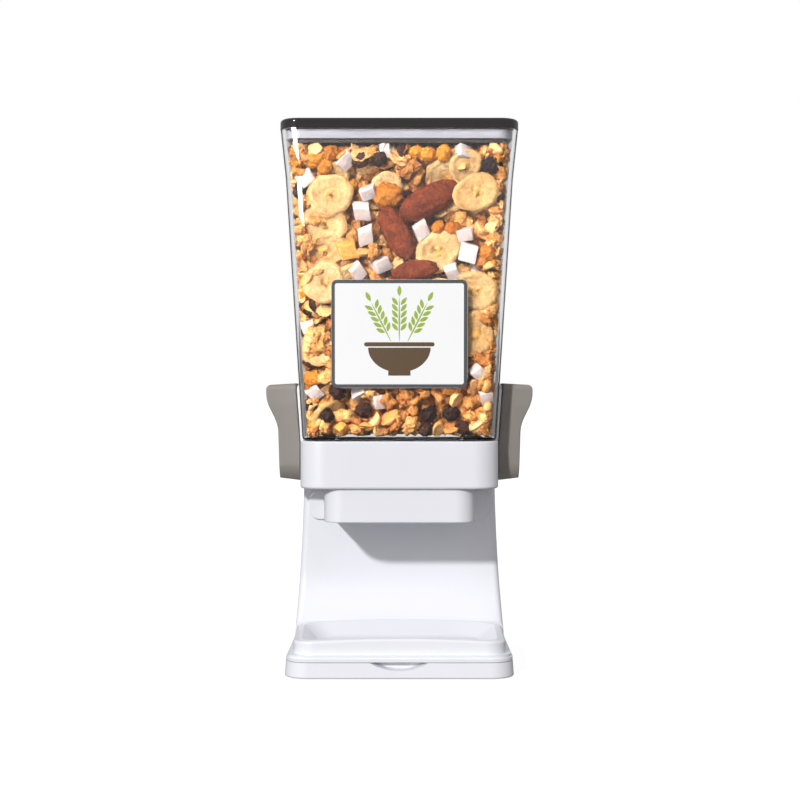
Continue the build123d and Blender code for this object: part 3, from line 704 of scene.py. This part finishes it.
def fill_corners(cereal, hollow, rng):
    """Small pieces round each rounded corner, from the side wall to the front or back wall."""
    kinds, weights = list(CORNER_WEIGHTS), list(CORNER_WEIGHTS.values())
    for side_x in (-1, 1):
        for side_y in (-1, 1):
            group = "front" if side_y < 0 else "back"
            for z in np.arange(cereal.floor + 3 * MM, cereal.ceiling, CORNER_SPACING):
                width, depth = hollow.half_sizes(z)
                for angle in CORNER_ANGLES:
                    out = np.array((side_x * math.cos(angle), side_y * math.sin(angle), 0.0))
                    middle = np.array((side_x * (width - hollow.corner), side_y * (depth - hollow.corner), z))
                    rise = rng.uniform(-CORNER_JITTER, CORNER_JITTER) * MM
                    centre = middle + out * hollow.corner + (0, 0, rise)
                    if side_y < 0 and angle > CORNER_ANGLES[0] and covered(centre[0], centre[2]):
                        continue
                    kind = kinds[rng.choice(len(kinds), p=weights)]
                    rotation = np.array(Euler(rng.uniform(-3, 3, 3)).to_matrix())
                    cereal.place(kind, group, centre, rotation, rng.uniform(*CORNER_SCALE), -out, rng)


def heap_top(cereal, hollow, rng):
    """Pieces over the top of the fill, just under the lid."""
    kinds = list(FILL_WEIGHTS)
    width, depth = hollow.half_sizes(cereal.ceiling)
    start, stop = TOP_SPACING, 8 * MM
    for x in np.arange(-width + start, width - stop, TOP_SPACING):
        for y in np.arange(-depth + start, depth - stop, TOP_SPACING):
            kind = kinds[rng.choice(len(kinds))]
            size = rng.uniform(0.7, 1.0) * (0.6 if kind == "banana" else 1.0)
            rotation = np.array(Euler(rng.uniform(-0.7, 0.7, 3)).to_matrix())
            jitter = rng.uniform(-TOP_JITTER, TOP_JITTER, 3) * MM
            centre = np.array((x, y, cereal.ceiling - TOP_DEPTH)) + jitter
            if y < HERO_DEPTH - depth and covered(centre[0], centre[2]):
                continue
            cereal.place(kind, "top", centre, rotation, size, np.zeros(3), rng)


def core(hollow, floor, top, material):
    """The dark mass behind the outer pieces, coloured with painted shade for the shaded cereal deep inside.
    """
    points = []
    for z in (floor + CORE_LIFT, top - CORE_DROP):
        width, depth = hollow.half_sizes(z)
        for x, y in ((-1, -1), (1, -1), (1, 1), (-1, 1)):
            points.append((x * (width - CORE_INSET), y * (depth - CORE_INSET), z))
    quads = [[3, 2, 1, 0], [4, 5, 6, 7], [0, 1, 5, 4], [1, 2, 6, 5], [2, 3, 7, 6], [3, 0, 4, 7]]
    triangles = [half for a, b, c, d in quads for half in ((a, b, c), (a, c, d))]
    piece_from("cereal_core", points, triangles, material, "hopper", smooth=False)


def cereal_materials():
    """The material of each kind, with stops from the darkest to the lightest tint."""
    oat_stops = [(0.0, (0.42, 0.15, 0.035)), (0.5, (0.72, 0.34, 0.095)), (1.0, (0.90, 0.53, 0.20))]
    flake_stops = [(0.0, (0.58, 0.24, 0.06)), (1.0, (0.92, 0.60, 0.25))]
    nut_stops = [(0.0, (0.62, 0.29, 0.08)), (1.0, (0.92, 0.64, 0.30))]
    nut_rim = (0.74, 0.98, (0.42, 0.16, 0.04), (0.60, 0.28, 0.08))
    chip_rim = (0.80, 0.99, (0.36, 0.15, 0.035), (0.58, 0.32, 0.10))
    chip_heart = (0.40, 0.12, (0.16, 0.06, 0.02), (0.66, 0.36, 0.09))
    dark_stops = [(0.0, (0.016, 0.007, 0.006)), (1.0, (0.06, 0.020, 0.011))]
    golden_stops = [(0.0, (0.36, 0.11, 0.006)), (1.0, (0.66, 0.28, 0.025))]
    candied_stops = [(0.0, (0.58, 0.20, 0.03)), (1.0, (0.80, 0.38, 0.09))]
    return {
        "granola": food("granola", oat_stops, 0.6, 420, 1.0, mottle=0.75),
        # The crumbs in the layers behind take only the darker half of the oat colours: painted shade for
        # pieces that sit behind the outer layer.
        "crumb": food("crumb", oat_stops[:2], 0.7, 420, 1.0, mottle=0.75),
        "flake": food("flake", flake_stops, 0.5, 380, 1.0, mottle=0.55),
        "nut": food("nut", nut_stops, 0.4, 260, 0.5, mottle=0.4, rim=nut_rim),
        "dark_raisin": food("dark_raisin", dark_stops, 0.34, 500, 0.9),
        "golden_raisin": food("golden_raisin", golden_stops, 0.28, 300, 0.9, subsurface=0.3, mottle=0.5),
        "candied_cube": food("candied_cube", candied_stops, 0.25, 240, 0.6, subsurface=0.3, mottle=0.5),
        "coconut": food("coconut", [(0.0, (0.52, 0.44, 0.41)), (1.0, (0.66, 0.59, 0.56))], 0.35, 200, 0.5,
                        subsurface=0.35, mottle=0.15),
        "banana": food("banana", [(0.0, (0.50, 0.30, 0.11)), (1.0, (0.64, 0.44, 0.21))], 0.5, 260, 0.8,
                       mottle=0.4, rim=chip_rim, heart=chip_heart),
        "apricot": food("apricot", [(0.0, (0.13, 0.020, 0.001)), (1.0, (0.20, 0.034, 0.002))], 0.5, 420, 1.0,
                        mottle=0.85),
    }


def make_cereal():
    tub_low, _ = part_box("hopper_tub")
    plug_low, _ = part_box("lid_plug")
    floor = tub_low[2] + (SPIGOT_DEPTH + HOPPER_FLOOR) * MM
    ceiling = plug_low[2] - LID_GAP
    hollow = Hollow("hopper_tub", INNER_CORNER, floor, ceiling)
    rng = np.random.default_rng(SEED)
    cereal = Cereal(hollow, floor, ceiling)
    lay_front(cereal, hollow, rng)
    fill_walls(cereal, hollow, rng)
    fill_corners(cereal, hollow, rng)
    heap_top(cereal, hollow, rng)
    cereal.build(cereal_materials())
    # The core's near-black brown is painted shade: it stands for the shaded cereal deep inside the hopper.
    dark = food("cereal_shadow", [(0.0, (0.10, 0.045, 0.02)), (1.0, (0.14, 0.06, 0.03))], 0.8, 120, 0.5)
    core(hollow, floor, ceiling, dark)


# ---------------------------------------------------------------- label print

class LabelSheet:
    """The label's front face: millimetres across and up it become points in the frame."""

    def __init__(self, thickness):
        low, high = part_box("hopper_label")
        depth, height = high[1] - low[1], high[2] - low[2]
        lean = math.atan2(depth - thickness, height)
        self.foot = np.array((0.0, high[1] - thickness * math.cos(lean), low[2]))
        self.up = np.array((0.0, -math.sin(lean), math.cos(lean)))
        self.out = np.array((0.0, -math.cos(lean), -math.sin(lean)))
        self.width = (high[0] - low[0]) / MM
        self.height = height / math.cos(lean) / MM

    def point(self, across, up):
        across_vector = np.array((across * MM, 0.0, 0.0))
        return self.foot + across_vector + self.up * (up * MM) + self.out * (PRINT_LIFT * MM)

    def print(self, name, shapes, material):
        """Draws flat outlines, each a list of (across, up) filled as a fan from its first point."""
        points, triangles = [], []
        for outline in shapes:
            start = len(points)
            points += [self.point(*place) for place in outline]
            triangles += [(start, start + n, start + n + 1) for n in range(1, len(outline) - 1)]
        piece_from(name, points, triangles, material, "hopper", smooth=False)


def rounded_outline(half_width, low, high, corner):
    """Points round a rounded rectangle."""
    points = []
    for quarter, (x, y) in enumerate(((1, 1), (-1, 1), (-1, -1), (1, -1))):
        middle = (high + low) / 2 + y * ((high - low) / 2 - corner)
        for step in range(9):
            angle = math.pi / 2 * (quarter + step / 8)
            across = x * (half_width - corner) + corner * math.cos(angle)
            points.append((across, middle + corner * math.sin(angle)))
    return points


def ring_shapes(outer, inner):
    """The band between two outlines with the same number of points, as quads."""
    shapes = []
    for n in range(len(outer)):
        after = (n + 1) % len(outer)
        shapes.append([outer[n], outer[after], inner[after], inner[n]])
    return shapes


def grain_shape(across, up, length, width, angle):
    """An almond-shaped grain that starts at a point and leans by an angle from upright."""
    points = []
    for side in (1, -1):
        for step in range(10):
            t = step / 10 if side == 1 else 1 - step / 10
            along, out = t * length, side * width / 2 * math.sin(math.pi * t) ** 0.8
            points.append((across + along * math.sin(angle) + out * math.cos(angle),
                           up + along * math.cos(angle) - out * math.sin(angle)))
    return points


def ear_shapes(across, up, lean):
    """One ear of grain: a stalk, pairs of grains beside it and one at its tip."""
    def beside(height, out):
        return (across + height * math.sin(lean) + out * math.cos(lean),
                up + height * math.cos(lean) - out * math.sin(lean))
    shapes = [grain_shape(across, up, 36, 1.3, lean)]
    for pair in range(EAR_PAIRS):
        for side in (-1, 1):
            foot = beside(EAR_PAIR_START + EAR_PAIR_STEP * pair, 1.1 * side)
            shapes.append(grain_shape(*foot, 7.4, 2.9, lean + side * math.radians(EAR_GRAIN_LEAN)))
    shapes.append(grain_shape(*beside(36.5, 0), 8.0, 3.2, lean))
    return shapes


def bowl_shapes(centre_up):
    """A bowl seen from the side, with its rim and foot."""
    angles = np.linspace(math.pi, 2 * math.pi, 40)
    cup = [(BOWL_HALF_WIDTH * math.cos(a), centre_up + BOWL_DEPTH * math.sin(a)) for a in angles]
    rim_half_width, rim_low, rim_high, rim_corner = BOWL_RIM
    rim = rounded_outline(rim_half_width, centre_up + rim_low, centre_up + rim_high, rim_corner)
    low = centre_up - BOWL_FOOT_DROP
    under = [point for point in cup if abs(point[0]) < BOWL_FOOT_HALF_WIDTH]
    foot = [[a, (a[0], low), (b[0], low), b] for a, b in zip(under, under[1:])]
    return [cup, rim] + foot


def print_label():
    sheet = LabelSheet(LABEL_THICKNESS * MM)
    slate = ink("slate_ink", (0.075, 0.08, 0.09), (0.055, 0.06, 0.07))
    brown = ink("brown_ink", (0.105, 0.055, 0.016), (0.098, 0.051, 0.015))
    green = ink("green_ink", (0.36, 0.50, 0.045), (0.30, 0.43, 0.035))
    half, inset = sheet.width / 2, FRAME_INSET
    outer = rounded_outline(half - inset, inset, sheet.height - inset, FRAME_CORNER)
    inset += FRAME_LINE
    inner = rounded_outline(half - inset, inset, sheet.height - inset, FRAME_CORNER - FRAME_LINE)
    sheet.print("label_frame_line", ring_shapes(outer, inner), slate)
    sheet.print("label_bowl_print", bowl_shapes(BOWL_LEVEL), brown)
    ears = []
    for n in (-1, 0, 1):
        ears += ear_shapes(EAR_SPREAD * n, EAR_FOOT, math.radians(EAR_LEAN * n))
    sheet.print("label_grain_print", ears, green)


# ---------------------------------------------------------------- stage

def make_stage():
    """A floor that looks white to the camera and dim to everything else."""
    material, shader = new_material("pale_floor")
    set_sockets(shader, Roughness=0.9, Emission_Color=(1, 1, 1, 1))
    seen = add(material, "ShaderNodeLightPath").outputs["Is Camera Ray"]
    levels = (("Base Color", FLOOR_BOUNCE, FLOOR_SEEN), ("Emission Strength", 0, FLOOR_GLOW))
    for socket, unseen, shown in levels:
        level = add(material, "ShaderNodeMapRange")
        level.inputs["To Min"].default_value = unseen
        level.inputs["To Max"].default_value = shown
        join(material, seen, level.inputs["Value"])
        join(material, level.outputs["Result"], shader.inputs[socket])
    bpy.ops.mesh.primitive_plane_add(size=FLOOR_SIZE)
    floor = bpy.context.object
    floor.name = "floor"
    floor.data.materials.append(material)


def make_light():
    """The key, the softbox, and a sky that is brighter where the camera sees it than where it lights."""
    key = bpy.data.lights.new("key", "SUN")
    key.energy = KEY_STRENGTH
    key.angle = KEY_ANGLE
    key_object = bpy.data.objects.new("key", key)
    key_object.rotation_euler = Vector(KEY_DIRECTION).to_track_quat("-Z", "Y").to_euler()
    bpy.context.scene.collection.objects.link(key_object)
    softbox = bpy.data.lights.new("softbox", "AREA")
    softbox.shape = "RECTANGLE"
    softbox.size, softbox.size_y = SOFTBOX_SIZE
    softbox.energy = SOFTBOX_POWER
    softbox_object = bpy.data.objects.new("softbox", softbox)
    softbox_object.location = SOFTBOX_PLACE
    softbox_object.visible_diffuse = False
    aim = Vector(SOFTBOX_AIM) - Vector(SOFTBOX_PLACE)
    softbox_object.rotation_euler = aim.to_track_quat("-Z", "Y").to_euler()
    bpy.context.scene.collection.objects.link(softbox_object)
    world = bpy.data.worlds.new("sky")
    world.use_nodes = True
    bpy.context.scene.world = world
    nodes, links = world.node_tree.nodes, world.node_tree.links
    background = nodes["Background"]
    background.inputs["Color"].default_value = (1, 1, 1, 1)
    path = nodes.new("ShaderNodeLightPath")
    seen_through = nodes.new("ShaderNodeMath")
    seen_through.operation = "GREATER_THAN"
    links.new(path.outputs["Is Transmission Ray"], seen_through.inputs[0])
    links.new(path.outputs["Diffuse Depth"], seen_through.inputs[1])
    unseen = blend_levels(nodes, links, seen_through.outputs[0], SKY_LIGHT, SKY_THROUGH_GLASS)
    level = blend_levels(nodes, links, path.outputs["Is Camera Ray"], unseen, SKY_SEEN)
    links.new(level, background.inputs["Strength"])


def blend_levels(nodes, links, switch, off, on):
    """A level that goes from one value to another as a switch goes from 0 to 1."""
    blend = nodes.new("ShaderNodeMapRange")
    for name, value in (("Value", switch), ("To Min", off), ("To Max", on)):
        if isinstance(value, float):
            blend.inputs[name].default_value = value
        else:
            links.new(value, blend.inputs[name])
    return blend.outputs["Result"]


def make_camera():
    camera = bpy.data.cameras.new("camera")
    camera.lens = LENS
    camera_object = bpy.data.objects.new("camera", camera)
    camera_object.location = (CAMERA_X, -CAMERA_DISTANCE, CAMERA_HEIGHT)
    camera_object.rotation_euler = (math.radians(90), 0, 0)
    bpy.context.scene.collection.objects.link(camera_object)
    bpy.context.scene.camera = camera_object


def dress_frame():
    """Gives every CAD node its material."""
    white = moulded("white_abs", (0.855, 0.855, 0.90), (0.835, 0.835, 0.885), 0.28, 900, 0.04, coat=0.15)
    looks = {
        "white_plastic": white,
        "taupe_plastic": moulded("taupe", (0.265, 0.238, 0.215), (0.245, 0.218, 0.198), 0.5, 2600, 0.35),
        "clear_plastic": clear_plastic(),
        "smoke_plastic": smoke_plastic(),
        "gasket_rubber": silicone(),
        "foot_rubber": moulded("foot_rubber", (0.09, 0.09, 0.09), (0.06, 0.06, 0.06), 0.8, 1500, 0.4),
        "label_paper": moulded("label_paper", (0.98, 0.98, 0.98), (0.95, 0.95, 0.95), 0.5, 1800, 0.05),
        "steel": metal(),
    }
    by_node = {part["node"]: looks[part["material_slot"]] for part in frame["record"]["subparts"]}
    by_node["lid_plug"] = thin_smoke_and_painted_shade()
    for node, obj in frame["nodes"].items():
        obj.data.materials.clear()
        obj.data.materials.append(by_node[node])


make_camera()
make_light()
make_stage()
dress_frame()
print_label()
make_cereal()
bpy.context.scene.view_settings.view_transform = "Standard"
